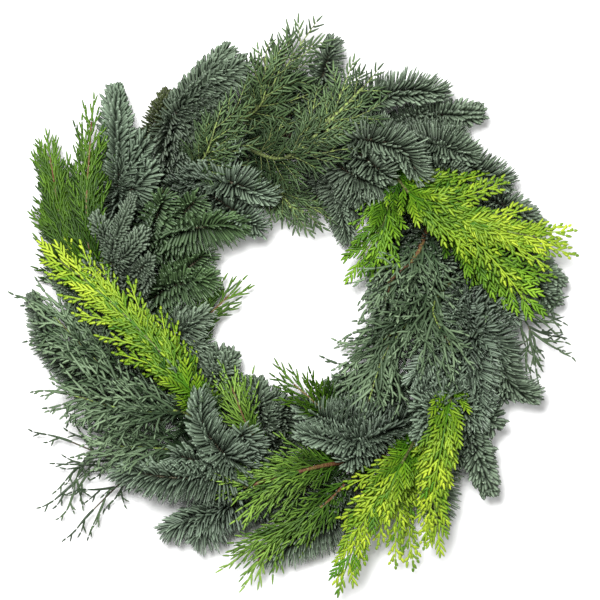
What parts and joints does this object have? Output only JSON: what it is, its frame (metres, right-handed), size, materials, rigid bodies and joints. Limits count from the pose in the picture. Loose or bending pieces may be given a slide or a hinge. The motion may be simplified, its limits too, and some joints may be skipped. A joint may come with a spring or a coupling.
{
  "type": "fresh evergreen wreath",
  "caption": "Round evergreen wreath of noble fir, golden cypress and cedar sprays, held by their stems in a clamp wreath ring, lying face up.",
  "frame": {"origin": "centre of the bounding box's underside, on the surface that the wreath lies on", "axes": "+Z out of the wreath's face, +Y to its top, +X to its right as one looks at the face"},
  "size_m": [0.5546, 0.5826, 0.0913],
  "materials": {
    "ring_steel": "green enamelled wire",
    "noble_fir": "waxy blue-green needles",
    "golden_cypress": "yellow-green scale leaves",
    "green_cypress": "mid-green scale leaves",
    "dark_cedar": "dark green feathery leaves",
    "thread_cedar": "grey-green thread leaves"
  },
  "bodies": {
    "root": {"clamp_ring": "ring_steel", "fir_01": "noble_fir", "fir_02": "noble_fir", "fir_03": "noble_fir", "fir_04": "noble_fir", "fir_05": "noble_fir", "fir_06": "noble_fir", "fir_07": "noble_fir", "gold_1": "golden_cypress", "gold_2": "golden_cypress", "fir_08": "noble_fir", "fir_09": "noble_fir", "gold_3": "golden_cypress", "blue_1": "thread_cedar", "fir_10": "noble_fir", "blue_2": "thread_cedar", "fir_11": "noble_fir", "fir_12": "noble_fir", "blue_3": "thread_cedar", "blue_4": "thread_cedar", "fir_13": "noble_fir", "gold_4": "golden_cypress", "fir_14": "noble_fir", "fir_15": "noble_fir", "gold_5": "golden_cypress", "fir_16": "noble_fir", "fir_17": "noble_fir", "fir_18": "noble_fir", "green_1": "green_cypress", "green_2": "green_cypress", "green_3": "green_cypress", "fir_19": "noble_fir", "fir_20": "noble_fir", "fir_21": "noble_fir", "green_4": "green_cypress", "fir_22": "noble_fir", "blue_5": "thread_cedar", "blue_6": "thread_cedar", "blue_7": "thread_cedar", "gold_6": "golden_cypress", "fir_23": "noble_fir", "fir_24": "noble_fir", "blue_8": "thread_cedar", "fir_25": "noble_fir", "fir_26": "noble_fir", "green_5": "green_cypress", "green_6": "green_cypress", "green_7": "green_cypress", "fir_27": "noble_fir", "fir_28": "noble_fir", "fir_29": "noble_fir", "fir_30": "noble_fir", "fir_31": "noble_fir", "fir_32": "noble_fir", "cedar_1": "dark_cedar", "fir_33": "noble_fir", "cedar_2": "dark_cedar", "cedar_3": "dark_cedar", "cedar_4": "dark_cedar"}
  },
  "joints": []
}
